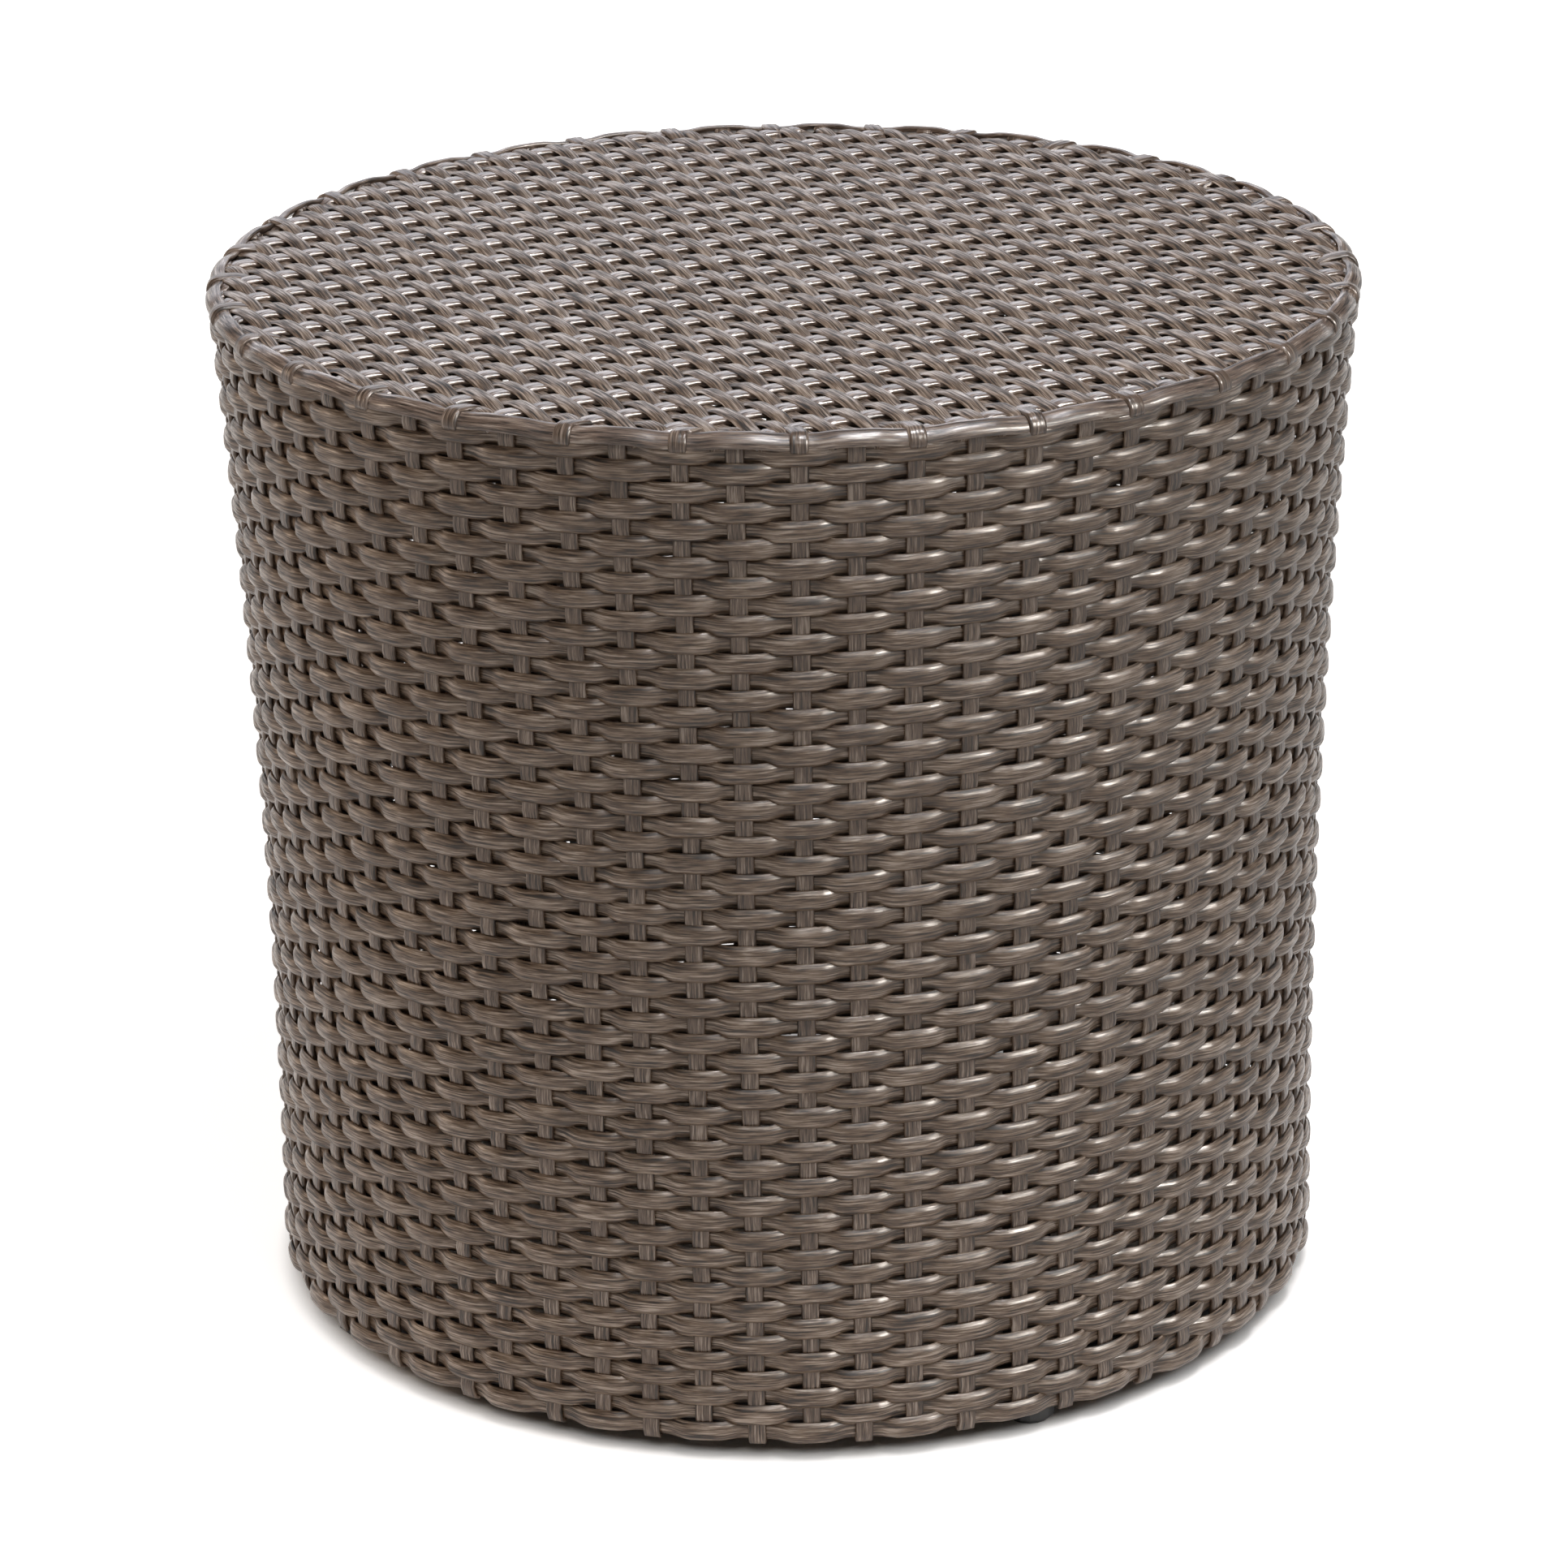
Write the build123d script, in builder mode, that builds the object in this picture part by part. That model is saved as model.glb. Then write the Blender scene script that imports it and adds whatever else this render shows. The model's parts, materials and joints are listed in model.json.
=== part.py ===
from build123d import *
import math
import os

os.makedirs("parts", exist_ok=True)

# Overall sizes of the drum, measured over the weave
TOP_DIA = 500.0
WAIST_DIA = 474.0
BASE_DIA = 470.0
HEIGHT = 460.0
FLOOR_GAP = 8.0
SIDE_RUN_COUNT = 4

# Resin strands: half-round weavers, flat stakes, and the woven skins they make
STRAND_WIDTH = 8.0
STRAND_THICK = 2.6
STAKE_THICK = 2.2
SIDE_STAKES = 64
SIDE_SKIN = 3.0
TOP_STAKE_PITCH = 26.0
TOP_STAKE_ANGLE = 28.5
SEAT_GAP = 0.3
RIM_BEVEL = 2.0

# Frame: square tube rings, thinner square tubes between and across them
RING_TUBE = 20.0
BAR_TUBE = 15.0
TUBE_WALL = 1.5

# Levelling feet: pad with flats to grip, hex-headed stud moulded into it, hex insert in the bottom ring
FOOT_COUNT = 4
FOOT_ANGLE = 27.0
PAD_FLAT_COUNT = 16
PAD_DIA = 22.0
PAD_BASE_DIA = 17.0
PAD_HEIGHT = 9.0
PAD_GAP = 0.2
STUD_DIA = 6.0
STUD_REACH = 14.0
HEAD_ACROSS = 10.0
HEAD_THICK = 4.0
INSERT_ACROSS = 10.0
INSERT_LENGTH = 13.0
INSERT_CLEARANCE = 0.1
FLANGE_ACROSS = 14.0
FLANGE_THICK = 1.2
THREAD_CLEARANCE = 0.06
HEX = 6

# Heights that the pieces share
rim_low = HEIGHT - STRAND_WIDTH
top_ring_high = HEIGHT - 2 * STRAND_THICK - STAKE_THICK
top_ring_low = top_ring_high - RING_TUBE
top_skin_low = top_ring_high + STAKE_THICK
flange_low = PAD_HEIGHT + PAD_GAP
bottom_ring_low = flange_low + FLANGE_THICK
bottom_ring_high = bottom_ring_low + RING_TUBE
side_skin_high = rim_low - SEAT_GAP


def skin_radius(z):
    """Radius over the side weave at height z: a shallow curve through base, waist and rim."""
    t = (z - FLOOR_GAP) / (HEIGHT - FLOOR_GAP)
    base, waist, rim = BASE_DIA / 2, WAIST_DIA / 2, TOP_DIA / 2
    pull = 2 * waist - (base + rim) / 2
    return base * (1 - t) ** 2 + 2 * pull * t * (1 - t) + rim * t**2


def side_strip(face, back, low, high):
    """Closed outline of a strip up the side's curve, between two depths inside the weave and two heights."""
    heights = [low + (high - low) * step / SIDE_RUN_COUNT for step in range(SIDE_RUN_COUNT + 1)]
    up = [(skin_radius(z) - face, z) for z in heights]
    down = [(skin_radius(z) - back, z) for z in reversed(heights)]
    return up + down


def slimmest(low, high):
    """Least radius over the side weave between two heights."""
    return min(skin_radius(low + (high - low) * step / 20) for step in range(21))


def hex_radius(across):
    """Corner radius of a hexagon that measures a given width across its flats."""
    return across / 2 / math.cos(math.pi / HEX)


# Radii that the pieces share: stakes lie behind the skin, and rings behind the full depth of the weave
stake_face = SIDE_SKIN + SEAT_GAP
stake_back = stake_face + STAKE_THICK
ring_inset = 2 * STRAND_THICK + STAKE_THICK + SEAT_GAP
upright_face = ring_inset + RING_TUBE - BAR_TUBE
bottom_ring_outer = slimmest(bottom_ring_low, bottom_ring_high) - ring_inset
bottom_ring_middle = bottom_ring_outer - RING_TUBE / 2
top_ring_outer = slimmest(top_ring_low, top_ring_high) - ring_inset
top_ring_inner = top_ring_outer - RING_TUBE
foot_angles = [FOOT_ANGLE + number * 360 / FOOT_COUNT for number in range(FOOT_COUNT)]


def finish(piece, name):
    """Labels a finished piece and writes its file."""
    piece.part.label = name
    export_step(piece.part, f"parts/{name}.step")


def square_ring(outer_radius, low):
    """Square tube bent into a ring, welded closed."""
    with BuildPart() as ring:
        with BuildSketch(Plane.XZ):
            with Locations((outer_radius - RING_TUBE / 2, low + RING_TUBE / 2)):
                Rectangle(RING_TUBE, RING_TUBE)
                Rectangle(RING_TUBE - 2 * TUBE_WALL, RING_TUBE - 2 * TUBE_WALL, mode=Mode.SUBTRACT)
        revolve(axis=Axis.Z)
    return ring


# Top ring, which carries the woven top
finish(square_ring(top_ring_outer, top_ring_low), "top_ring")

# Bottom ring, with a hole through its lower wall for each insert
bottom_tube = square_ring(bottom_ring_outer, bottom_ring_low)
with BuildPart() as bottom_ring:
    add(bottom_tube.part)
    with BuildSketch(Plane.XY.offset(bottom_ring_low)):
        with PolarLocations(bottom_ring_middle, FOOT_COUNT, start_angle=FOOT_ANGLE):
            RegularPolygon(hex_radius(INSERT_ACROSS + 2 * INSERT_CLEARANCE), HEX)
    extrude(amount=TUBE_WALL, mode=Mode.SUBTRACT)
finish(bottom_ring, "bottom_ring")

# Uprights, bent to the curve of the side between the rings and flush with them inside
for number, angle in enumerate(foot_angles, start=1):
    with BuildPart() as upright:
        for wall, mode in ((0, Mode.ADD), (TUBE_WALL, Mode.SUBTRACT)):
            with BuildSketch(Plane.XZ.rotated((0, 0, angle))):
                with BuildLine():
                    back = upright_face + BAR_TUBE - wall
                    outline = side_strip(upright_face + wall, back, bottom_ring_high, top_ring_low)
                    Polyline(*outline, close=True)
                make_face()
            extrude(amount=BAR_TUBE / 2 - wall, both=True, mode=mode)
    finish(upright, f"upright_{number}")


def bar_tube(angle, start, end):
    """Straight square tube under the woven top, along a given direction."""
    along = Vector(1, 0, 0).rotate(Axis.Z, angle)
    foot = along * start + Vector(0, 0, top_ring_high - BAR_TUBE / 2)
    with BuildPart() as bar:
        with BuildSketch(Plane(origin=foot, x_dir=(0, 0, 1), z_dir=along)):
            Rectangle(BAR_TUBE, BAR_TUBE)
            Rectangle(BAR_TUBE - 2 * TUBE_WALL, BAR_TUBE - 2 * TUBE_WALL, mode=Mode.SUBTRACT)
        extrude(amount=end - start)
    return bar


# Bars under the top: one right across between two uprights, and a half bar to each of the others
bar_reach = math.sqrt(top_ring_inner**2 - (BAR_TUBE / 2) ** 2) - SEAT_GAP
finish(bar_tube(FOOT_ANGLE, -bar_reach, bar_reach), "top_bar")
for number, turn in enumerate((90, 270), start=1):
    finish(bar_tube(FOOT_ANGLE + turn, BAR_TUBE / 2, bar_reach), f"half_bar_{number}")

# Threaded inserts, flange under the ring and sleeve up inside its tube
with BuildPart() as foot_inserts:
    bore = STUD_DIA / 2 + THREAD_CLEARANCE
    flange = (flange_low, FLANGE_ACROSS, FLANGE_THICK)
    sleeve = (bottom_ring_low, INSERT_ACROSS, INSERT_LENGTH)
    for low, across, length in (flange, sleeve):
        with BuildSketch(Plane.XY.offset(low)):
            with PolarLocations(bottom_ring_middle, FOOT_COUNT, start_angle=FOOT_ANGLE):
                RegularPolygon(hex_radius(across), HEX)
                Circle(bore, mode=Mode.SUBTRACT)
        extrude(amount=length)
finish(foot_inserts, "foot_inserts")

# Feet: a bevelled pad with flats for the fingers, and the stud whose hex head is moulded into it
head_low = PAD_HEIGHT - HEAD_THICK
for number, angle in enumerate(foot_angles, start=1):
    centre = Vector(bottom_ring_middle, 0, 0).rotate(Axis.Z, angle)
    with BuildPart() as foot_pad:
        with BuildSketch(Plane(origin=(centre.X, centre.Y, 0))):
            RegularPolygon(PAD_DIA / 2, PAD_FLAT_COUNT, major_radius=False)
        extrude(amount=PAD_HEIGHT)
        chamfer(foot_pad.edges().group_by(Axis.Z)[0], (PAD_DIA - PAD_BASE_DIA) / 2)
        with BuildSketch(Plane(origin=(centre.X, centre.Y, head_low))):
            RegularPolygon(hex_radius(HEAD_ACROSS), HEX)
        extrude(amount=HEAD_THICK, mode=Mode.SUBTRACT)
    finish(foot_pad, f"foot_pad_{number}")

    with BuildPart() as foot_stud:
        with BuildSketch(Plane(origin=(centre.X, centre.Y, head_low))):
            RegularPolygon(hex_radius(HEAD_ACROSS), HEX)
        extrude(amount=HEAD_THICK)
        with BuildSketch(Plane(origin=(centre.X, centre.Y, PAD_HEIGHT))):
            Circle(STUD_DIA / 2)
        extrude(amount=STUD_REACH)
    finish(foot_stud, f"foot_stud_{number}")

# Side stakes, upright strands behind the woven side, from its lower edge to the rim
with BuildPart() as side_stake:
    with BuildSketch(Plane.XZ):
        with BuildLine():
            Polyline(*side_strip(stake_face, stake_back, FLOOR_GAP, side_skin_high), close=True)
        make_face()
    extrude(amount=STRAND_WIDTH / 2, both=True)
with BuildPart() as side_stakes:
    with PolarLocations(0, SIDE_STAKES):
        add(side_stake.part)
finish(side_stakes, "side_stakes")

# Woven side, the skin of weavers round the drum, straight from stake to stake and open at the bottom
stake_turn = 360 / SIDE_STAKES
corner_share = 1 / math.cos(math.radians(stake_turn / 2))
hoops = []
for radius, z in side_strip(0, SIDE_SKIN, FLOOR_GAP, side_skin_high):
    corner = Vector(radius * corner_share, 0, z)
    hoops.append([corner.rotate(Axis.Z, (step + 0.5) * stake_turn) for step in range(SIDE_STAKES)])
flats = []
for hoop, next_hoop in zip(hoops, hoops[1:] + hoops[:1]):
    for step in range(SIDE_STAKES):
        corners = (hoop[step - 1], hoop[step], next_hoop[step], next_hoop[step - 1])
        flats.append(Face(Wire.make_polygon(corners)))
skin = Solid(Shell(flats))
with BuildPart() as woven_side:
    add(skin)
finish(woven_side, "woven_side")

# Top stakes, flat strands laid across the top ring and bars
stake_reach = skin_radius(top_ring_high) - stake_back - SEAT_GAP
stakes_each_side = int((stake_reach - STRAND_WIDTH) / TOP_STAKE_PITCH)
with BuildPart() as top_stakes:
    with BuildSketch(Plane.XY.offset(top_ring_high).rotated((0, 0, TOP_STAKE_ANGLE))):
        for step in range(-stakes_each_side, stakes_each_side + 1):
            aside = abs(step) * TOP_STAKE_PITCH + STRAND_WIDTH / 2
            with Locations((0, step * TOP_STAKE_PITCH)):
                Rectangle(2 * math.sqrt(stake_reach**2 - aside**2), STRAND_WIDTH)
    extrude(amount=STAKE_THICK)
finish(top_stakes, "top_stakes")

# Woven top, the panel of weavers over the top stakes
with BuildPart() as woven_top:
    with BuildSketch(Plane.XY.offset(top_skin_low)):
        Circle(TOP_DIA / 2 - STRAND_THICK - SEAT_GAP)
    extrude(amount=HEIGHT - top_skin_low)
finish(woven_top, "woven_top")

# Rim strand, a flat strand round the top edge, bevelled on its outer face
with BuildPart() as rim_strand:
    with BuildSketch(Plane.XZ):
        with BuildLine():
            rim_back = TOP_DIA / 2 - STRAND_THICK
            Polyline(
                (rim_back, rim_low),
                (TOP_DIA / 2, rim_low + RIM_BEVEL),
                (TOP_DIA / 2, HEIGHT - RIM_BEVEL),
                (rim_back, HEIGHT),
                close=True,
            )
        make_face()
    revolve(axis=Axis.Z)
finish(rim_strand, "rim_strand")
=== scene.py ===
import json
import math

import bpy
import numpy as np
from mathutils import Euler, Matrix, Vector


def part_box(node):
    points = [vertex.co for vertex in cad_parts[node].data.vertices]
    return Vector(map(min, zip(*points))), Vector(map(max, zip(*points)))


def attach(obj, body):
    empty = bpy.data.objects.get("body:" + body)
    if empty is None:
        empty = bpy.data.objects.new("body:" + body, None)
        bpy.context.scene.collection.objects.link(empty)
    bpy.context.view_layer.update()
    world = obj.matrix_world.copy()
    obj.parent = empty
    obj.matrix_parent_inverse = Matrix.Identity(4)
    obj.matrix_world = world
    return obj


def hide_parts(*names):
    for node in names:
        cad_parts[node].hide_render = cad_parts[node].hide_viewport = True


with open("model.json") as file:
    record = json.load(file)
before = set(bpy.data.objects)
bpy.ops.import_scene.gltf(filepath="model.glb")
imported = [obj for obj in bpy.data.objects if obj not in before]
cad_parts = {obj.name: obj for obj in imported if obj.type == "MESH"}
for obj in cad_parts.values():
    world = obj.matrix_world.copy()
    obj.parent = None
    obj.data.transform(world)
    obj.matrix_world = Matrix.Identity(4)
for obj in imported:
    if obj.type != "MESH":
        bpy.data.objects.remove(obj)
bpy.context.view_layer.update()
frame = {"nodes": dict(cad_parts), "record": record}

MM = 0.001
rng = np.random.default_rng(27)

# Drum, measured over the weave
TOP_RADIUS = 250 * MM
WAIST_RADIUS = 237 * MM
BASE_RADIUS = 235 * MM
HEIGHT = 460 * MM
FLOOR_GAP = 8 * MM

# Strands: at a crossing the stake gives way by the crimp, and the weaver passes it by the wave
WEAVER_WIDTH = 9.2 * MM
WEAVER_THICK = 2.9 * MM
STAKE_WIDTH = 7.6 * MM
STAKE_THICK = 2.2 * MM
STRAND_CLEAR = 0.1 * MM
CRIMP = 0.6 * MM
WAVE = (WEAVER_THICK + STAKE_THICK) / 2 - CRIMP + STRAND_CLEAR

# Side weave
SIDE_STAKES = 64
STAKE_TURN = math.tau / SIDE_STAKES
STAKE_PHASE = math.radians(1.7)
STAKE_SCATTER = math.radians(0.3)
LEAN_SHARE = 0.8
ROW_COUNT = 55
ROW_HIGH = 450.2 * MM
ROW_LOW = 12.6 * MM
ROW_PITCH = (ROW_HIGH - ROW_LOW) / (ROW_COUNT - 1)
STEPS_PER_STAKE = 8
ROW_WANDER = 0.25 * MM
LONG_WANDER = ROW_WANDER * 0.6
LONG_WAVES = (2, 3, 5)
ROW_SLANT = 0.25 * MM
WEAVER_TWIST = 0.1
WEAVER_SPREAD = 0.05

# Rim: the first row lies on the top corner, and every second stake folds over it into the top
CORNER_RADIUS = 6 * MM
RIM_DROP = 0.4 * MM
CORNER_IN = TOP_RADIUS - CORNER_RADIUS
CORNER_HIGH = HEIGHT - CORNER_RADIUS - RIM_DROP
RIM_LEAN = math.radians(50)
RIM_DIP = 0.8 * MM
RIM_WIDTH_SHARE = 0.95
FOLD = CORNER_RADIUS - STAKE_THICK / 2
FOLD_BEND = np.radians(np.linspace(-14, 92, 9))
FOLD_START_OUT = 0.9 * MM
FOLD_START_UP = 2 * MM
FOLD_TAIL_IN = np.array((4, 8, 12, 15.5, 18)) * MM
FOLD_TAIL_DROP = np.array((0, 0.4, 1.6, 3.6, 6)) * MM
FOLD_LEAN = 0.7

# The other stakes tuck in behind the rim row
TUCK_OUT = np.array((0.3, -0.5, -2.0, -4.0)) * MM
TUCK_UP = np.array((2.4, 4.6, 6.4, 7.6)) * MM

# Foot of the stakes: they turn in under the last row and lie round the bottom ring, clear of the feet
ring_low, ring_high = (np.array(corner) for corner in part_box("bottom_ring"))
RING_TUBE = 20 * MM
RING_FACE = ring_high[0]
RING_BORE = RING_FACE - RING_TUBE
RING_UNDER = ring_low[2] - STAKE_THICK / 2 - STRAND_CLEAR
FOOT_AZIMUTH = math.radians(27)
FOOT_CLEAR = math.radians(5.4)
FOOT_TURN = math.pi / 2

# Top weave: stakes run to the back right, weavers square to them, and their ends drop under the rim row
TOP_TURN = math.radians(28.5)
TOP_STAKE_PITCH = 26 * MM
TOP_WEAVER_PITCH = 8.2 * MM
TOP_WEAVER_WIDTH = 8.4 * MM
TOP_WEAVER_THICK = 1.7 * MM
TOP_CRIMP = 0.6 * MM
TOP_WAVE = (TOP_WEAVER_THICK + STAKE_THICK) / 2 - TOP_CRIMP + STRAND_CLEAR
TOP_INSET = 0.3 * MM
TOP_MIDDLE = HEIGHT - TOP_WEAVER_THICK / 2 - TOP_WAVE - TOP_INSET
TOP_REACH = 247.5 * MM
TOP_DIVE_RUN = 8 * MM
TOP_DIVE = 4.4 * MM
TOP_DIVE_CURVE = 1.4
TIGHT_RUN = 3 * TOP_DIVE_RUN
TIGHT_SHARE = 0.5
TOP_WANDER_RUN = 40 * MM
STEPS_PER_TOP_WEAVER = 6
STAKE_RUN = np.array((math.cos(TOP_TURN), math.sin(TOP_TURN), 0))
WEAVER_RUN = np.array((math.sin(TOP_TURN), -math.cos(TOP_TURN), 0))
UP = np.array((0, 0, 1.0))

# Each strand is cut from its own place on a reel of this many metres, so no two have the same streaks
STRAND_REEL = 40


def skin_radius(z):
    """Radius over the side weave at height z."""
    t = (z - FLOOR_GAP) / (HEIGHT - FLOOR_GAP)
    pull = 2 * WAIST_RADIUS - (BASE_RADIUS + TOP_RADIUS) / 2
    return BASE_RADIUS * (1 - t) ** 2 + 2 * pull * t * (1 - t) + TOP_RADIUS * t**2


def weave_radius(z):
    """Radius of the middle of the side weave at height z, where the stakes stand."""
    return skin_radius(z) - WEAVER_THICK / 2 - WAVE


def over_under(place):
    """Wave of a strand: 1 in front of even crossings, -1 behind odd ones, flattened at each."""
    eased = np.sin(math.pi / 2 * np.cos(math.pi * place))
    return (eased + np.sin(math.pi / 2 * eased)) / 2


def by_turns(number):
    """1 for strands with an even number and -1 for the others."""
    return 1 if number % 2 == 0 else -1


def smooth(value):
    """Eased step from 0 to 1."""
    value = np.clip(value, 0, 1)
    return value * value * (3 - 2 * value)


def round_drum(azimuth, radius, z):
    """Points at an azimuth from the front, positive to the right."""
    azimuth, radius, z = np.broadcast_arrays(azimuth, radius, z)
    return np.stack((radius * np.sin(azimuth), -radius * np.cos(azimuth), z), axis=-1)


def unit(vectors):
    """Vectors brought to length 1."""
    return vectors / np.linalg.norm(vectors, axis=-1, keepdims=True)


def weaver_section(width, thick):
    """Half-round strand with a flat along each shoulder, crown out, as pairs of across and out."""
    shares = np.array(((0.78, 0), (1, 0.3), (0.93, 0.44), (0.62, 0.84), (0.42, 0.95)))
    right = shares * (width / 2, thick) - (0, thick / 2)
    left = right[::-1] * (-1, 1)
    return np.concatenate((right, ((0, thick / 2),), left))


def stake_section():
    """Flat strand with three ribs along its face, as pairs of across and out."""
    half = STAKE_WIDTH / 2
    face = STAKE_THICK / 2
    outer_rib = 0.9 * face
    groove = 0.86 * face
    return np.array((
        (0.88 * half, -face),
        (half, 0),
        (0.84 * half, outer_rib),
        (0.58 * half, outer_rib),
        (0.36 * half, groove),
        (0.18 * half, face),
        (-0.18 * half, face),
        (-0.36 * half, groove),
        (-0.58 * half, outer_rib),
        (-0.84 * half, outer_rib),
        (-half, 0),
        (-0.88 * half, -face),
    ))


def swept_strand(section, points, normals, closed, widths):
    """Corners, four-sided faces and UVs of one swept strand, and the caps of an open one with their UVs.

    A UV is the place across and along the strand in metres."""
    count = len(section)
    corner = np.arange(count)
    following = (corner + 1) % count
    length = len(points)
    if closed:
        along = np.roll(points, -1, axis=0) - np.roll(points, 1, axis=0)
        steps = np.roll(points, -1, axis=0) - points
    else:
        along = np.gradient(points, axis=0)
        steps = points[1:] - points[:-1]
    along = unit(along)
    side = unit(np.cross(normals, along))
    out = np.cross(along, side)
    side = side * np.broadcast_to(widths, length)[:, None]
    corners = points[:, None] + side[:, None] * section[None, :, :1] + out[:, None] * section[None, :, 1:]

    segment = np.arange(len(steps))
    here = segment[:, None] * count
    ahead = (segment[:, None] + 1) % length * count
    faces = np.stack((here + corner, here + following, ahead + following, ahead + corner), axis=-1)

    run = np.concatenate(([0], np.cumsum(np.linalg.norm(steps, axis=1))))
    run = run + rng.uniform(0, STRAND_REEL)
    across = section[:, 0]
    u = np.stack((across, across[following], across[following], across), axis=-1)
    v = np.stack((run[segment], run[segment], run[segment + 1], run[segment + 1]), axis=-1)
    face_uvs = np.stack((np.broadcast_to(u, faces.shape), np.broadcast_to(v[:, None], faces.shape)), axis=-1)

    caps = []
    cap_uvs = []
    if not closed:
        caps = [corner[::-1], (length - 1) * count + corner]
        cap_uvs = [np.stack((across[::-1], np.full(count, run[0])), axis=-1),
                   np.stack((across, np.full(count, run[-1])), axis=-1)]
    return corners.reshape(-1, 3), faces.reshape(-1, 4), face_uvs.reshape(-1, 2), caps, cap_uvs


def strands(name, paths, section):
    """One piece of strands, from paths of points, outward normals, closed or not, and shares of width."""
    verts, quads, quad_uvs, caps, cap_uvs = [], [], [], [], []
    base = 0
    for path in paths:
        corners, faces, face_uvs, ends, end_uvs = swept_strand(section, *path)
        verts.append(corners)
        quads.append(base + faces)
        quad_uvs.append(face_uvs)
        caps.extend(base + end for end in ends)
        cap_uvs.extend(end_uvs)
        base += len(corners)
    verts = np.concatenate(verts)
    quads = np.concatenate(quads)
    loops = np.concatenate([quads.ravel()] + caps).astype(np.int32)
    sizes = np.concatenate((np.full(len(quads), 4), np.full(len(caps), len(section)))).astype(np.int32)
    uvs = np.concatenate(quad_uvs + cap_uvs)

    mesh = bpy.data.meshes.new(name)
    mesh.vertices.add(len(verts))
    mesh.vertices.foreach_set("co", verts.astype(np.float32).ravel())
    mesh.loops.add(len(loops))
    mesh.loops.foreach_set("vertex_index", loops)
    mesh.polygons.add(len(sizes))
    mesh.polygons.foreach_set("loop_start", (np.cumsum(sizes) - sizes).astype(np.int32))
    mesh.update(calc_edges=True)
    mesh.uv_layers.new(name="strand").data.foreach_set("uv", uvs.astype(np.float32).ravel())
    mesh.polygons.foreach_set("use_smooth", np.ones(len(sizes), dtype=bool))
    mesh.validate()
    piece = bpy.data.objects.new(name, mesh)
    bpy.context.scene.collection.objects.link(piece)
    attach(piece, "frame")
    return piece


# Stakes stand at slightly uneven places and lean a little, as hand-fixed ones do
stake_foot = (np.arange(SIDE_STAKES) + 0.5) * STAKE_TURN - STAKE_PHASE
stake_shift = rng.uniform(-STAKE_SCATTER, STAKE_SCATTER, SIDE_STAKES)
stake_lean = rng.uniform(-STAKE_SCATTER, STAKE_SCATTER, SIDE_STAKES) * LEAN_SHARE


def stake_azimuths(z):
    """Azimuth of each stake at height z."""
    share = np.asarray(z)[..., None] / HEIGHT - 0.5
    return stake_foot + stake_shift + stake_lean * share


def round_places():
    """Places once round the drum, counted in stakes and starting at the back."""
    return SIDE_STAKES / 2 + np.arange(SIDE_STAKES * STEPS_PER_STAKE) / STEPS_PER_STAKE


def place_azimuths(place, z):
    """Azimuths at places round the drum, which keep to the uneven stakes."""
    azimuths = stake_azimuths(z)
    numbers = np.arange(2 * SIDE_STAKES)
    return np.interp(place, numbers, np.concatenate((azimuths, azimuths + math.tau)))


def uneven(place, spread):
    """Smooth seeded unevenness round the drum, with a fresh value at each stake."""
    values = rng.uniform(-spread, spread, SIDE_STAKES)
    before = np.floor(place).astype(int)
    share = smooth(place - before)
    return values[before % SIDE_STAKES] * (1 - share) + values[(before + 1) % SIDE_STAKES] * share


def side_weavers():
    """Rows of the side weave, each over one stake and under the next."""
    place = round_places()
    paths = []
    for row in range(ROW_COUNT):
        z = ROW_HIGH - row * ROW_PITCH
        azimuth = place_azimuths(place, z)
        wander = uneven(place, ROW_WANDER)
        for waves in LONG_WAVES:
            wander += LONG_WANDER * np.sin(waves * azimuth + rng.uniform(0, math.tau))
        side = by_turns(row)
        height = z + wander + side * ROW_SLANT * np.sin(math.pi * place)
        radius = weave_radius(height) + side * WAVE * over_under(place)
        normals = round_drum(azimuth, 1, uneven(place, WEAVER_TWIST))
        widths = 1 + uneven(place, WEAVER_SPREAD)
        paths.append((round_drum(azimuth, radius, height), normals, True, widths))
    return strands("side_weaver_strands", paths, weaver_section(WEAVER_WIDTH, WEAVER_THICK))


def fold_lean(azimuth, inward):
    """Sideways shift of a fold's end, which turns to lie along the strands of the top."""
    radial = -round_drum(azimuth, 1, 0)
    runs = np.stack((STAKE_RUN, -STAKE_RUN, WEAVER_RUN, -WEAVER_RUN))
    left_front = -math.pi / 2 < azimuth - math.tau * round(azimuth / math.tau) < 0
    along = STAKE_RUN if left_front else runs[np.argmax(runs @ radial)]
    return inward[:, None] * FOLD_LEAN * (along - radial)


def rim_fold(number):
    """Reach and height of a stake's upper end, folded over the rim row or tucked in behind it."""
    start = weave_radius(ROW_HIGH)
    if number % 2 == 1:
        return start + TUCK_OUT, ROW_HIGH + TUCK_UP
    reach = np.concatenate((
        (start + FOLD_START_OUT,),
        CORNER_IN + FOLD * np.cos(FOLD_BEND),
        CORNER_IN - FOLD_TAIL_IN,
    ))
    rise = np.concatenate((
        (ROW_HIGH + FOLD_START_UP,),
        CORNER_HIGH + FOLD * np.sin(FOLD_BEND),
        CORNER_HIGH + FOLD - FOLD_TAIL_DROP,
    ))
    return reach, rise


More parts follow.
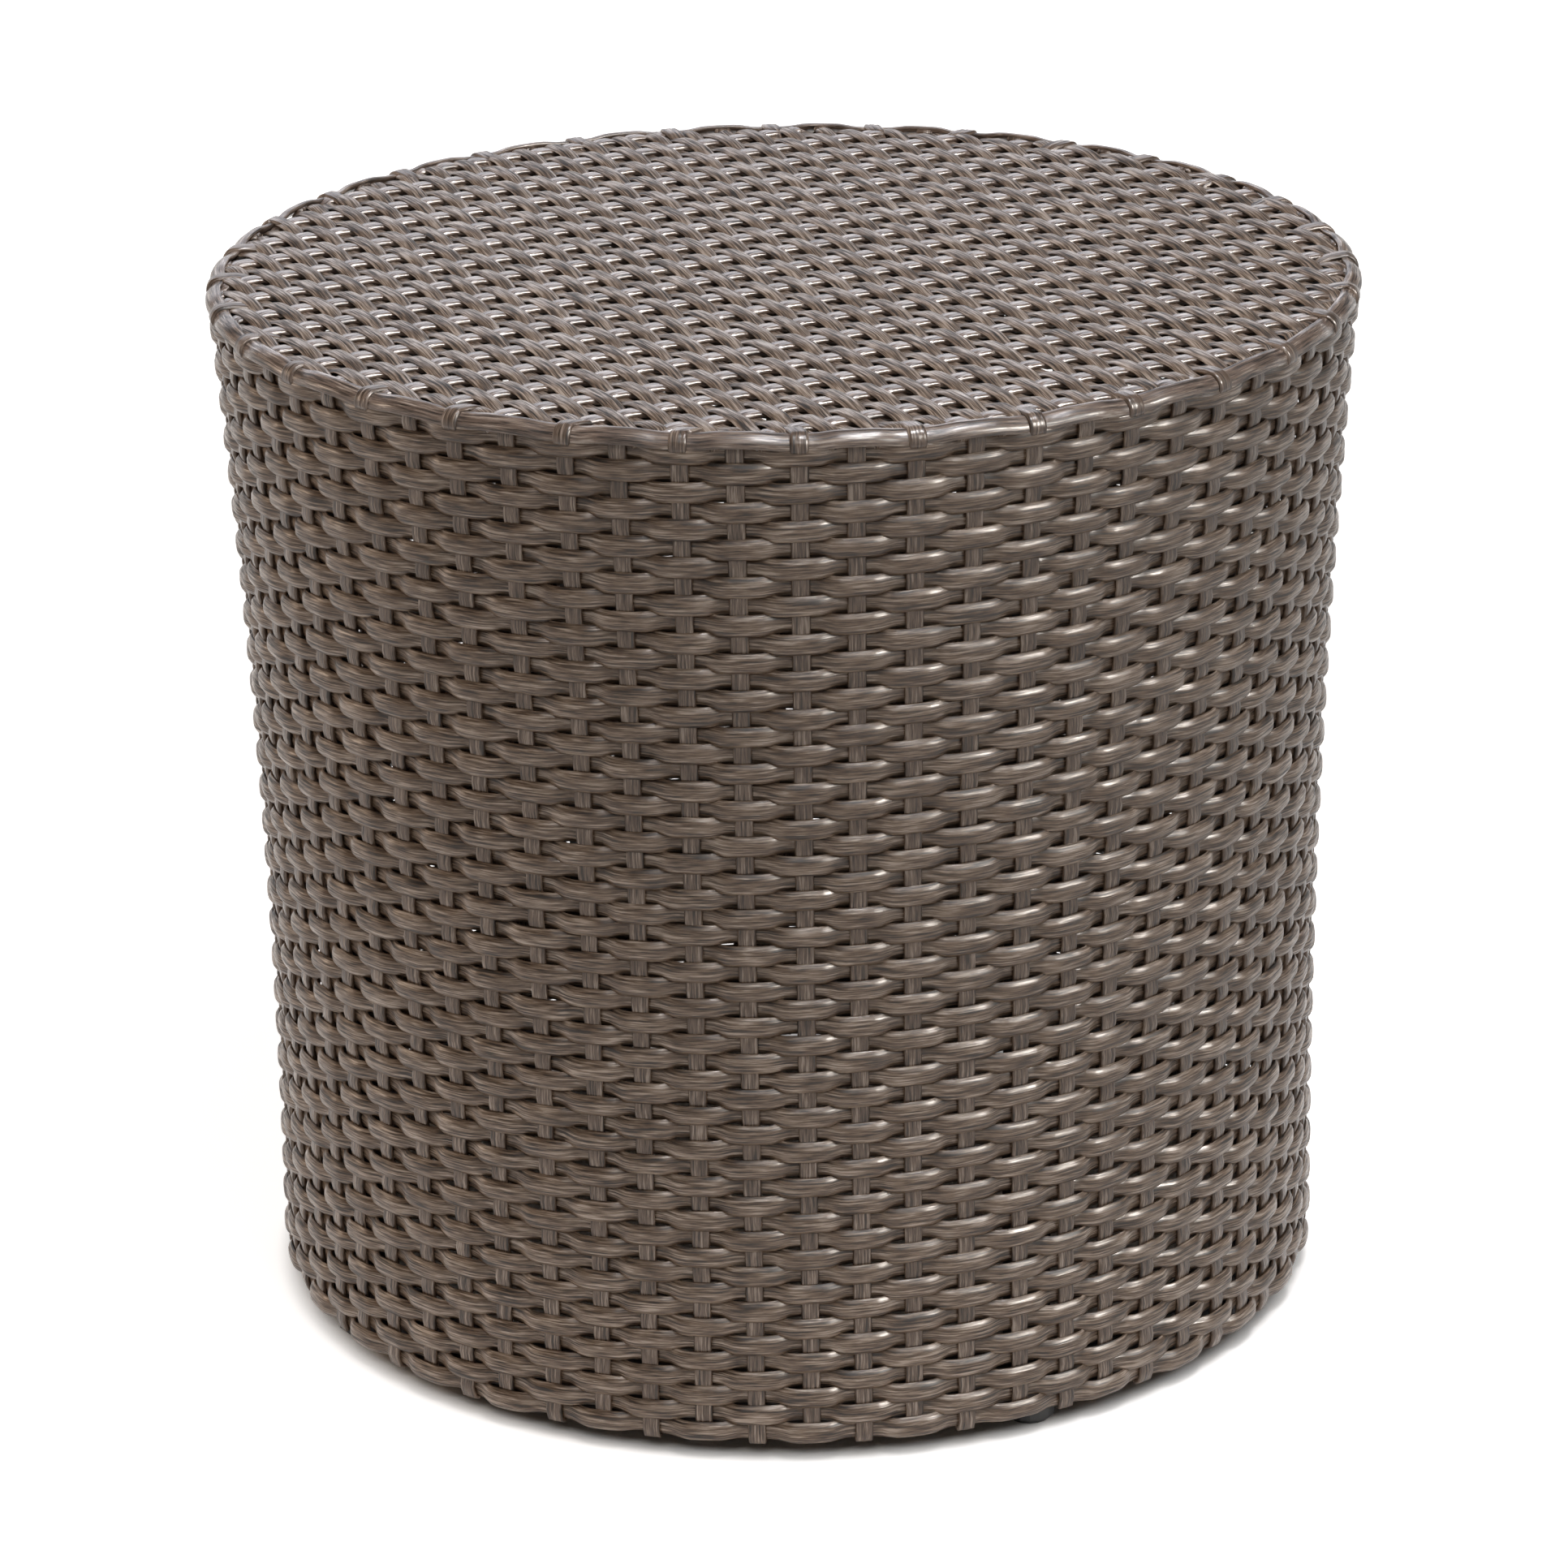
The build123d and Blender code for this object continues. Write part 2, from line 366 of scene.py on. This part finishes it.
def stake_foot_turn(azimuth, number):
    """Reach and height of a stake's lower end, from under the ring out to the last row."""
    last = weave_radius(ROW_LOW)
    if number % 2 == 0:
        reach = last - np.array((3.2, 0.9)) * MM
        rise = ROW_LOW - np.array((2.9, 2.0)) * MM
    else:
        reach = last - np.array((6.2, 3.0, 0.8, 0)) * MM
        rise = ROW_LOW - np.array((5.2, 6.2, 5.0, 2.6)) * MM
    from_foot = (azimuth - FOOT_AZIMUTH + FOOT_TURN / 2) % FOOT_TURN - FOOT_TURN / 2
    if abs(from_foot) < FOOT_CLEAR:
        return reach[-2:], rise[-2:]
    inside = RING_BORE + np.array((-1.3, -1.3, -0.4, 2, 6)) * MM
    outside = RING_FACE - np.array((8, 3)) * MM
    under_rise = RING_UNDER + np.array((17, 5, 1.2, 0, -0.2, -0.2, -0.5)) * MM
    return np.concatenate((inside, outside, reach)), np.concatenate((under_rise, rise))


def side_stakes():
    """Stakes: round the bottom ring, up between the weavers that press them in and out, and over the rim."""
    half_rows = np.arange(2 * (ROW_COUNT - 1) + 1)
    z = ROW_LOW + half_rows * ROW_PITCH / 2
    row = ROW_COUNT - 1 - half_rows / 2
    tail = len(FOLD_TAIL_IN)
    paths = []
    for number in range(SIDE_STAKES):
        crossing = -np.cos(math.pi * row) * by_turns(number)
        radius = weave_radius(z) + CRIMP * crossing
        azimuth = stake_azimuths(z)[:, number]
        low_reach, low_rise = stake_foot_turn(azimuth[0], number)
        high_reach, high_rise = rim_fold(number)
        reach = np.concatenate((low_reach, radius, high_reach))
        rise = np.concatenate((low_rise, z, high_rise))
        azimuth = np.pad(azimuth, (len(low_reach), len(high_reach)), mode="edge")
        points = round_drum(azimuth, reach, rise)
        if number % 2 == 0:
            points[-tail:] += fold_lean(azimuth[-1], FOLD_TAIL_IN)
        slope = np.gradient(np.stack((reach, rise), axis=1), axis=0)
        outward = slope[:, 1:] * round_drum(azimuth, 1, 0) - slope[:, :1] * UP
        paths.append((points, unit(outward), False, 1))
    return strands("side_stake_strands", paths, stake_section())


def end_drop(run):
    """How far a top strand drops at its ends, which go under the rim row."""
    return TOP_DIVE * smooth(1 - (run[-1] - np.abs(run)) / TOP_DIVE_RUN) ** TOP_DIVE_CURVE


def kept_wave(run):
    """Share of the wave that a top strand keeps near its ends, where it is pulled tight."""
    return 1 - TIGHT_SHARE * smooth(1 - (run[-1] - np.abs(run)) / TIGHT_RUN)


def top_strand(offset_vector, run_vector, offset, width, step):
    """Straight points of one top strand across the disc, which its outer corners stay inside."""
    half = math.sqrt(TOP_REACH**2 - (abs(offset) + width / 2) ** 2)
    count = int(2 * half / step) + 2
    run = np.linspace(-half, half, count)
    return run, offset * offset_vector + run[:, None] * run_vector


def top_weavers():
    """Strands of the top that run to the front right, each over one top stake and under the next."""
    paths = []
    each_side = int((TOP_REACH - TOP_WEAVER_WIDTH) / TOP_WEAVER_PITCH)
    step = TOP_STAKE_PITCH / STEPS_PER_STAKE
    for number in range(-each_side, each_side + 1):
        offset = number * TOP_WEAVER_PITCH
        run, points = top_strand(STAKE_RUN, WEAVER_RUN, offset, TOP_WEAVER_WIDTH, step)
        wander = ROW_WANDER * np.sin(run / TOP_WANDER_RUN + rng.uniform(0, math.tau))
        points = points + wander[:, None] * STAKE_RUN
        wave = by_turns(number) * TOP_WAVE * over_under(run / TOP_STAKE_PITCH) * kept_wave(run)
        points[:, 2] = TOP_MIDDLE + wave - end_drop(run)
        paths.append((points, np.broadcast_to(UP, points.shape), False, 1))
    return strands("top_weaver_strands", paths, weaver_section(TOP_WEAVER_WIDTH, TOP_WEAVER_THICK))


def top_stakes():
    """Strands of the top that run to the back right, pressed down and up by the top weavers."""
    paths = []
    each_side = int(TOP_REACH / TOP_STAKE_PITCH)
    step = TOP_WEAVER_PITCH / STEPS_PER_TOP_WEAVER
    for number in range(-each_side, each_side + 1):
        offset = number * TOP_STAKE_PITCH
        run, points = top_strand(WEAVER_RUN, STAKE_RUN, offset, STAKE_WIDTH, step)
        wave = -by_turns(number) * TOP_CRIMP * over_under(run / TOP_WEAVER_PITCH) * kept_wave(run)
        points[:, 2] = TOP_MIDDLE + wave - end_drop(run)
        paths.append((points, np.broadcast_to(UP, points.shape), False, 1))
    return strands("top_stake_strands", paths, stake_section())


def rim_row():
    """First row, on the top corner: in under the folds of even stakes and out past odd ones."""
    place = round_places()
    azimuth = place_azimuths(place, HEIGHT)
    depth = CORNER_RADIUS - WEAVER_THICK / 2 - RIM_DIP * (1 + over_under(place))
    radius = CORNER_IN + depth * math.cos(RIM_LEAN)
    height = CORNER_HIGH + depth * math.sin(RIM_LEAN)
    normals = math.cos(RIM_LEAN) * round_drum(azimuth, 1, 0) + math.sin(RIM_LEAN) * UP
    path = (round_drum(azimuth, radius, height), normals, True, RIM_WIDTH_SHARE)
    return strands("rim_row", [path], weaver_section(WEAVER_WIDTH, WEAVER_THICK))


def linear(hex_colour):
    """Linear colour of an sRGB hex value."""
    channels = []
    for place in (0, 2, 4):
        value = int(hex_colour[place:place + 2], 16) / 255
        channels.append(value / 12.92 if value <= 0.04045 else ((value + 0.055) / 1.055) ** 2.4)
    return (*channels, 1)


def add_node(tree, kind, settings=None, links=None):
    """Adds a node, sets its properties and input values, and links inputs to other nodes' outputs."""
    node = tree.nodes.new(kind)
    for name, value in (settings or {}).items():
        if name in node.bl_rna.properties:
            setattr(node, name, value)
        else:
            node.inputs[name].default_value = value
    for name, output in (links or {}).items():
        tree.links.new(output, node.inputs[name])
    return node


def new_material(name):
    """New material and its empty node tree."""
    material = bpy.data.materials.new(name)
    material.use_nodes = True
    material.node_tree.nodes.clear()
    return material, material.node_tree


def set_ramp(node, stops):
    """Sets a colour ramp to stops, each a place and a hex colour."""
    ramp = node.color_ramp
    while len(ramp.elements) < len(stops):
        ramp.elements.new(0.5)
    for element, (place, hex_colour) in zip(ramp.elements, stops):
        element.position = place
        element.color = linear(hex_colour)


# Marks in the extruded strand: width across it and length along it in mm, and levels of fine detail
STREAKS = (1.1, 20, 4)
PATCHES = (5, 30, 2)
FLECKS = (0.6, 13, 2)
GROOVES = (0.55, 60, 2)
MARK_ROUGHNESS = 0.6
PATCH_SHARE = 0.25
FLECK_SHARE = 0.35

# Pale streaks shine more than the resin's own roughness gives, and dark ones less
DARK_STREAK = 0.42
PALE_STREAK = 0.58
DARK_ROUGHER = 0.2
PALE_SMOOTHER = 0.08
GROOVE_STRENGTH = 0.5


def streaked_resin(name, stops, roughness, ior, groove_mm):
    """Extruded polyethylene strand: streaks of dark and pale pigment drawn out along it, fine grooves from
    the die, and a satin gloss that the dark streaks break."""
    material, tree = new_material(name)
    uv = add_node(tree, "ShaderNodeUVMap", {"uv_map": "strand"})

    def drawn_out(across_mm, along_mm, detail):
        """Marks drawn out along the strand."""
        scaled = add_node(tree, "ShaderNodeVectorMath", {"operation": "MULTIPLY"}, {0: uv.outputs["UV"]})
        scaled.inputs[1].default_value = (1 / (across_mm * MM), 1 / (along_mm * MM), 1)
        return add_node(tree, "ShaderNodeTexNoise",
                        {"Scale": 1.0, "Detail": detail, "Roughness": MARK_ROUGHNESS},
                        {"Vector": scaled.outputs[0]})

    streaks = drawn_out(*STREAKS)
    patches = drawn_out(*PATCHES)
    flecks = drawn_out(*FLECKS)
    grooves = drawn_out(*GROOVES)
    blended = add_node(tree, "ShaderNodeMix", {"data_type": "FLOAT", "Factor": PATCH_SHARE},
                       {"A": streaks.outputs["Fac"], "B": patches.outputs["Fac"]})
    pigment = add_node(tree, "ShaderNodeMix", {"data_type": "FLOAT", "Factor": FLECK_SHARE},
                       {"A": blended.outputs["Result"], "B": flecks.outputs["Fac"]})
    colour = add_node(tree, "ShaderNodeValToRGB", None, {"Fac": pigment.outputs["Result"]})
    set_ramp(colour, stops)
    shine = add_node(tree, "ShaderNodeMapRange",
                     {"From Min": DARK_STREAK, "From Max": PALE_STREAK,
                      "To Min": roughness + DARK_ROUGHER, "To Max": roughness - PALE_SMOOTHER},
                     {"Value": pigment.outputs["Result"]})
    bump = add_node(tree, "ShaderNodeBump", {"Strength": GROOVE_STRENGTH, "Distance": groove_mm * MM},
                    {"Height": grooves.outputs["Fac"]})
    shader = add_node(tree, "ShaderNodeBsdfPrincipled", {"IOR": ior},
                      {"Base Color": colour.outputs["Color"], "Roughness": shine.outputs["Result"],
                       "Normal": bump.outputs["Normal"]})
    add_node(tree, "ShaderNodeOutputMaterial", None, {"Surface": shader.outputs["BSDF"]})
    return material


# Grain of the other finishes: how far it takes the colour and the roughness either way, and its depth
TINT_SPREAD = 0.25
SHINE_SPREAD = 0.08
GRAIN_DEPTH = 0.1 * MM
GRAIN_DETAIL = 3.0


def grained_finish(name, hex_colour, roughness, metallic, grain_mm, bump_strength):
    """Plain finish with a grain in its colour, gloss and surface, drawn as coarse as it needs to show."""
    material, tree = new_material(name)
    place = add_node(tree, "ShaderNodeTexCoord")
    grain = add_node(tree, "ShaderNodeTexNoise", {"Scale": 1 / (grain_mm * MM), "Detail": GRAIN_DETAIL},
                     {"Vector": place.outputs["Object"]})
    red_green_blue = linear(hex_colour)[:3]
    tint = add_node(tree, "ShaderNodeMix", {"data_type": "RGBA"}, {"Factor": grain.outputs["Fac"]})
    tint.inputs[6].default_value = (*((1 - TINT_SPREAD) * part for part in red_green_blue), 1)
    tint.inputs[7].default_value = (*((1 + TINT_SPREAD) * part for part in red_green_blue), 1)
    shine = add_node(tree, "ShaderNodeMapRange",
                     {"To Min": roughness - SHINE_SPREAD, "To Max": roughness + SHINE_SPREAD},
                     {"Value": grain.outputs["Fac"]})
    bump = add_node(tree, "ShaderNodeBump", {"Strength": bump_strength, "Distance": GRAIN_DEPTH},
                    {"Height": grain.outputs["Fac"]})
    shader = add_node(tree, "ShaderNodeBsdfPrincipled", {"Metallic": metallic},
                      {"Base Color": tint.outputs[2], "Roughness": shine.outputs["Result"],
                       "Normal": bump.outputs["Normal"]})
    add_node(tree, "ShaderNodeOutputMaterial", None, {"Surface": shader.outputs["BSDF"]})
    return material


# Pigment of each strand, from its darkest streaks to its palest
WEAVER_PIGMENT = ((0.42, "23170e"), (0.472, "624d3b"), (0.53, "8f7a67"), (0.59, "cab8a7"))
STAKE_PIGMENT = ((0.42, "2f241b"), (0.47, "604d3e"), (0.53, "857161"), (0.59, "b8a696"))
# Painted light: the rim row's pigment is a paler, greyer copy of the weavers', for the light on the top
# corner
LIT_RIM_PIGMENT = ((0.41, "2a1f18"), (0.47, "68574b"), (0.533, "917d6e"), (0.6, "c6b5a5"))
# Painted highlight: the top stakes' pigment is a paler copy of the side stakes', for the light they catch
# between the top weavers
LIT_TOP_STAKE_PIGMENT = ((0.405, "3a2d26"), (0.465, "7a685c"), (0.535, "a38f81"), (0.605, "d2c2b5"))

# Side weavers: taupe with dark and cream streaks and plain grooves
weaver_resin = streaked_resin(
    "extruded_resin_weaver", WEAVER_PIGMENT, roughness=0.29, ior=1.5, groove_mm=0.25)
# Top weavers: the same pigment in a thinner and duller strand
top_weaver_resin = streaked_resin(
    "extruded_resin_top_weaver", WEAVER_PIGMENT, roughness=0.34, ior=1.48, groove_mm=0.18)
# Side stakes: evener taupe, smoother and glossier than the weavers
stake_resin = streaked_resin(
    "extruded_resin_stake", STAKE_PIGMENT, roughness=0.24, ior=1.5, groove_mm=0.1)
# Rim row: the weaver strand in a greyer and paler pigment, which is painted light for the light falling on
# the top corner, and smoother than the weavers below it
lit_rim_resin = streaked_resin(
    "extruded_resin_rim_with_painted_light", LIT_RIM_PIGMENT, roughness=0.24, ior=1.52, groove_mm=0.15)
# Top stakes: the stake strand in its palest pigment, painted highlights where they show between the weavers,
# with a wet-looking gloss
lit_top_stake_resin = streaked_resin(
    "extruded_resin_glossy_painted_highlight", LIT_TOP_STAKE_PIGMENT, roughness=0.15, ior=1.75, groove_mm=0.1)

PIECES = (
    (side_weavers, "woven_side", weaver_resin, "resin_weave"),
    (side_stakes, "side_stakes", stake_resin, "resin_stake"),
    (top_weavers, "woven_top", top_weaver_resin, "resin_weave"),
    (top_stakes, "top_stakes", lit_top_stake_resin, "resin_stake"),
    (rim_row, "rim_strand", lit_rim_resin, "resin_weave"),
)
for make, node, material, slot in PIECES:
    piece = make()
    piece.data.materials.append(material)
    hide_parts(node)

# Tubes: dark satin powder coat with a fine orange peel
powder_coat = grained_finish(
    "powder_coated_steel", "2e2824", roughness=0.5, metallic=0, grain_mm=0.6, bump_strength=0.3)
# Studs and inserts: grey zinc with a slightly mottled shine
zinc_plate = grained_finish(
    "zinc_plated_steel", "b5b3ac", roughness=0.35, metallic=1, grain_mm=0.4, bump_strength=0.1)
# Pads: near-black nylon, matt from the mould
black_nylon = grained_finish(
    "moulded_nylon", "141413", roughness=0.5, metallic=0, grain_mm=0.5, bump_strength=0.3)

FINISHES = {"frame_tube": powder_coat, "zinc_steel": zinc_plate, "black_nylon": black_nylon}
for part in frame["record"]["subparts"]:
    finish = FINISHES.get(part["material_slot"])
    if finish:
        for slot in frame["nodes"][part["node"]].material_slots:
            slot.material = finish


def seen_rays(tree):
    """Node that is 1 for what the camera, gloss and clear pieces see, and 0 for light on the pieces."""
    path = add_node(tree, "ShaderNodeLightPath")
    seen = add_node(tree, "ShaderNodeMath", {"operation": "MAXIMUM"},
                    {0: path.outputs["Is Camera Ray"], 1: path.outputs["Is Glossy Ray"]})
    return add_node(tree, "ShaderNodeMath", {"operation": "MAXIMUM"},
                    {0: seen.outputs[0], 1: path.outputs["Is Transmission Ray"]})


# Floor: half its side, then distances from the drum's axis between which it changes, all in metres; the
# painted pool of light round the drum fades out between the first two
FLOOR_HALF = 100
LIGHT_POOL_END = 0.35
LIGHT_POOL_GONE = 0.85
SHADE_END = BASE_RADIUS - 14 * MM
OPEN_START = BASE_RADIUS + 6 * MM
NEAR_END = 0.3
FAR_START = 2.0
OPEN_GLOW = 0.78
FAR_GLOW = 0.25


def painted_floor():
    """Matt painted floor, cream round the drum and greyer further out: the cream is a painted pool of light
    that lightens the drum's shadow and throws more light on the foot of the weave. It glows to white where
    it is seen, but not under the drum, so the soft shadow stays on it."""
    material, tree = new_material("pale_floor")
    place = add_node(tree, "ShaderNodeNewGeometry")
    flat = add_node(tree, "ShaderNodeVectorMath", {"operation": "MULTIPLY"}, {0: place.outputs["Position"]})
    flat.inputs[1].default_value = (1, 1, 0)
    distance = add_node(tree, "ShaderNodeVectorMath", {"operation": "LENGTH"}, {0: flat.outputs[0]})
    # Painted pool of light: the floor is paler round the drum and fades to grey further out
    grey = add_node(tree, "ShaderNodeMapRange",
                    {"interpolation_type": "SMOOTHSTEP", "From Min": LIGHT_POOL_END, "From Max": LIGHT_POOL_GONE},
                    {"Value": distance.outputs["Value"]})
    paint = add_node(tree, "ShaderNodeMix", {"data_type": "RGBA"}, {"Factor": grey.outputs["Result"]})
    paint.inputs[6].default_value = linear("fcf6ee")
    paint.inputs[7].default_value = linear("ada69c")
    matt = add_node(tree, "ShaderNodeBsdfDiffuse", None, {"Color": paint.outputs[2]})
    open_floor = add_node(tree, "ShaderNodeMapRange",
                          {"interpolation_type": "SMOOTHSTEP", "From Min": SHADE_END, "From Max": OPEN_START,
                           "To Max": OPEN_GLOW},
                          {"Value": distance.outputs["Value"]})
    far_floor = add_node(tree, "ShaderNodeMapRange",
                         {"interpolation_type": "SMOOTHSTEP", "From Min": NEAR_END, "From Max": FAR_START,
                          "To Max": FAR_GLOW},
                         {"Value": distance.outputs["Value"]})
    glow = add_node(tree, "ShaderNodeMath", {"operation": "ADD"},
                    {0: open_floor.outputs["Result"], 1: far_floor.outputs["Result"]})
    white = add_node(tree, "ShaderNodeEmission", {"Color": linear("ffffff")}, {"Strength": glow.outputs[0]})
    both = add_node(tree, "ShaderNodeAddShader", None, {0: matt.outputs[0], 1: white.outputs[0]})
    shown = add_node(tree, "ShaderNodeMixShader", None,
                     {0: seen_rays(tree).outputs[0], 1: matt.outputs[0], 2: both.outputs[0]})
    add_node(tree, "ShaderNodeOutputMaterial", None, {"Surface": shown.outputs[0]})
    return material


floor_corners = [(x * FLOOR_HALF, y * FLOOR_HALF, 0) for x, y in ((-1, -1), (1, -1), (1, 1), (-1, 1))]
floor_mesh = bpy.data.meshes.new("floor")
floor_mesh.from_pydata(floor_corners, [], [(0, 1, 2, 3)])
floor_mesh.materials.append(painted_floor())
floor = bpy.data.objects.new("floor", floor_mesh)
bpy.context.scene.collection.objects.link(floor)

# Room: dim to what it lights, with a wall low round it that is white where it is seen. The wall ends between
# these heights, as the sine of the angle above the floor.
ROOM_LIGHT = 0.08
WALL_END = (0.15, 0.25)


def studio_room():
    """World of the dim room and its white wall."""
    world = bpy.data.worlds.new("studio")
    world.use_nodes = True
    tree = world.node_tree
    tree.nodes.clear()
    room = add_node(tree, "ShaderNodeBackground", {"Color": linear("fff8f0"), "Strength": ROOM_LIGHT})
    wall = add_node(tree, "ShaderNodeBackground", {"Color": linear("ffffff"), "Strength": 1.0})
    direction = add_node(tree, "ShaderNodeTexCoord")
    rise = add_node(tree, "ShaderNodeSeparateXYZ", None, {"Vector": direction.outputs["Generated"]})
    low = add_node(tree, "ShaderNodeMapRange",
                   {"interpolation_type": "SMOOTHSTEP", "From Min": WALL_END[0], "From Max": WALL_END[1],
                    "To Min": 1.0, "To Max": 0.0},
                   {"Value": rise.outputs["Z"]})
    wall_seen = add_node(tree, "ShaderNodeMath", {"operation": "MULTIPLY"},
                         {0: low.outputs["Result"], 1: seen_rays(tree).outputs[0]})
    surround = add_node(tree, "ShaderNodeMixShader", None,
                        {0: wall_seen.outputs[0], 1: room.outputs[0], 2: wall.outputs[0]})
    add_node(tree, "ShaderNodeOutputWorld", None, {"Surface": surround.outputs[0]})
    return world


bpy.context.scene.world = studio_room()


def panel(name, place, aim, size, power, hex_colour="ffffff", gloss_only=False):
    """Soft light of a size in metres and a power in watts, at a place and aimed at a point."""
    light = bpy.data.lights.new(name, "AREA")
    light.color = linear(hex_colour)[:3]
    light.shape = "RECTANGLE"
    light.size, light.size_y = size
    light.energy = power
    lamp = bpy.data.objects.new(name, light)
    lamp.location = place
    lamp.rotation_euler = (Vector(aim) - Vector(place)).to_track_quat("-Z", "Y").to_euler()
    lamp.visible_diffuse = not gloss_only
    bpy.context.scene.collection.objects.link(lamp)


# Soft studio light: panels all round and overhead, and cards that only the gloss shows, for the glints
panel("back_panel", (-0.6, 2.6, 1.5), (0, 0, 0.4), (2.8, 1.2), 18.5, "eef3ff")
panel("right_panel", (1.8, -1.6, 1.9), (0, 0, 0.2), (1.2, 0.9), 2, "f4f7ff")
panel("right_card", (1.95, -1.5, 1.65), (0, 0, 0.2), (1.2, 0.9), 120, "fffaf3", gloss_only=True)
panel("left_panel", (-2.6, 0.5, 1.1), (0, 0, 0.25), (1.0, 1.0), 12, "ffe2c8")
panel("overhead_panel", (0.5, -1.3, 2.9), (0, 0, 0.3), (1.0, 1.0), 6)
panel("rim_panel", (0.55, -0.5, 2.9), (0, -0.1, 0.4), (1.3, 0.5), 36, "f2f5ff")
panel("rim_card", (0.5, -0.6, 2.8), (0, -0.1, 0.4), (1.0, 0.5), 42, gloss_only=True)
panel("front_panel", (-0.4, -2.2, 2.3), (0, 0, 0.15), (1.2, 0.6), 8)
panel("front_card", (0.3, -2.3, 2.2), (0, 0, 0.15), (1.2, 0.6), 14, gloss_only=True)

# Camera, fitted to the outline of the drum in the photograph: its place in metres, its angles in degrees
CAMERA_PLACE = (0, -2.5, 1.1593)
CAMERA_DOWN = 20.617
CAMERA_TURN = 0.07
CAMERA_ROLL = -0.871
SENSOR_MM = 36
LENS_MM = 136.98
camera_data = bpy.data.cameras.new("camera")
camera_data.sensor_width = SENSOR_MM
camera_data.lens = LENS_MM
camera = bpy.data.objects.new("camera", camera_data)
camera.location = CAMERA_PLACE
look = Euler((math.radians(90 - CAMERA_DOWN), 0, math.radians(CAMERA_TURN))).to_matrix()
camera.rotation_euler = (look @ Matrix.Rotation(math.radians(CAMERA_ROLL), 3, "Z")).to_euler()
bpy.context.scene.collection.objects.link(camera)
bpy.context.scene.camera = camera

bpy.context.scene.view_settings.view_transform = "Standard"
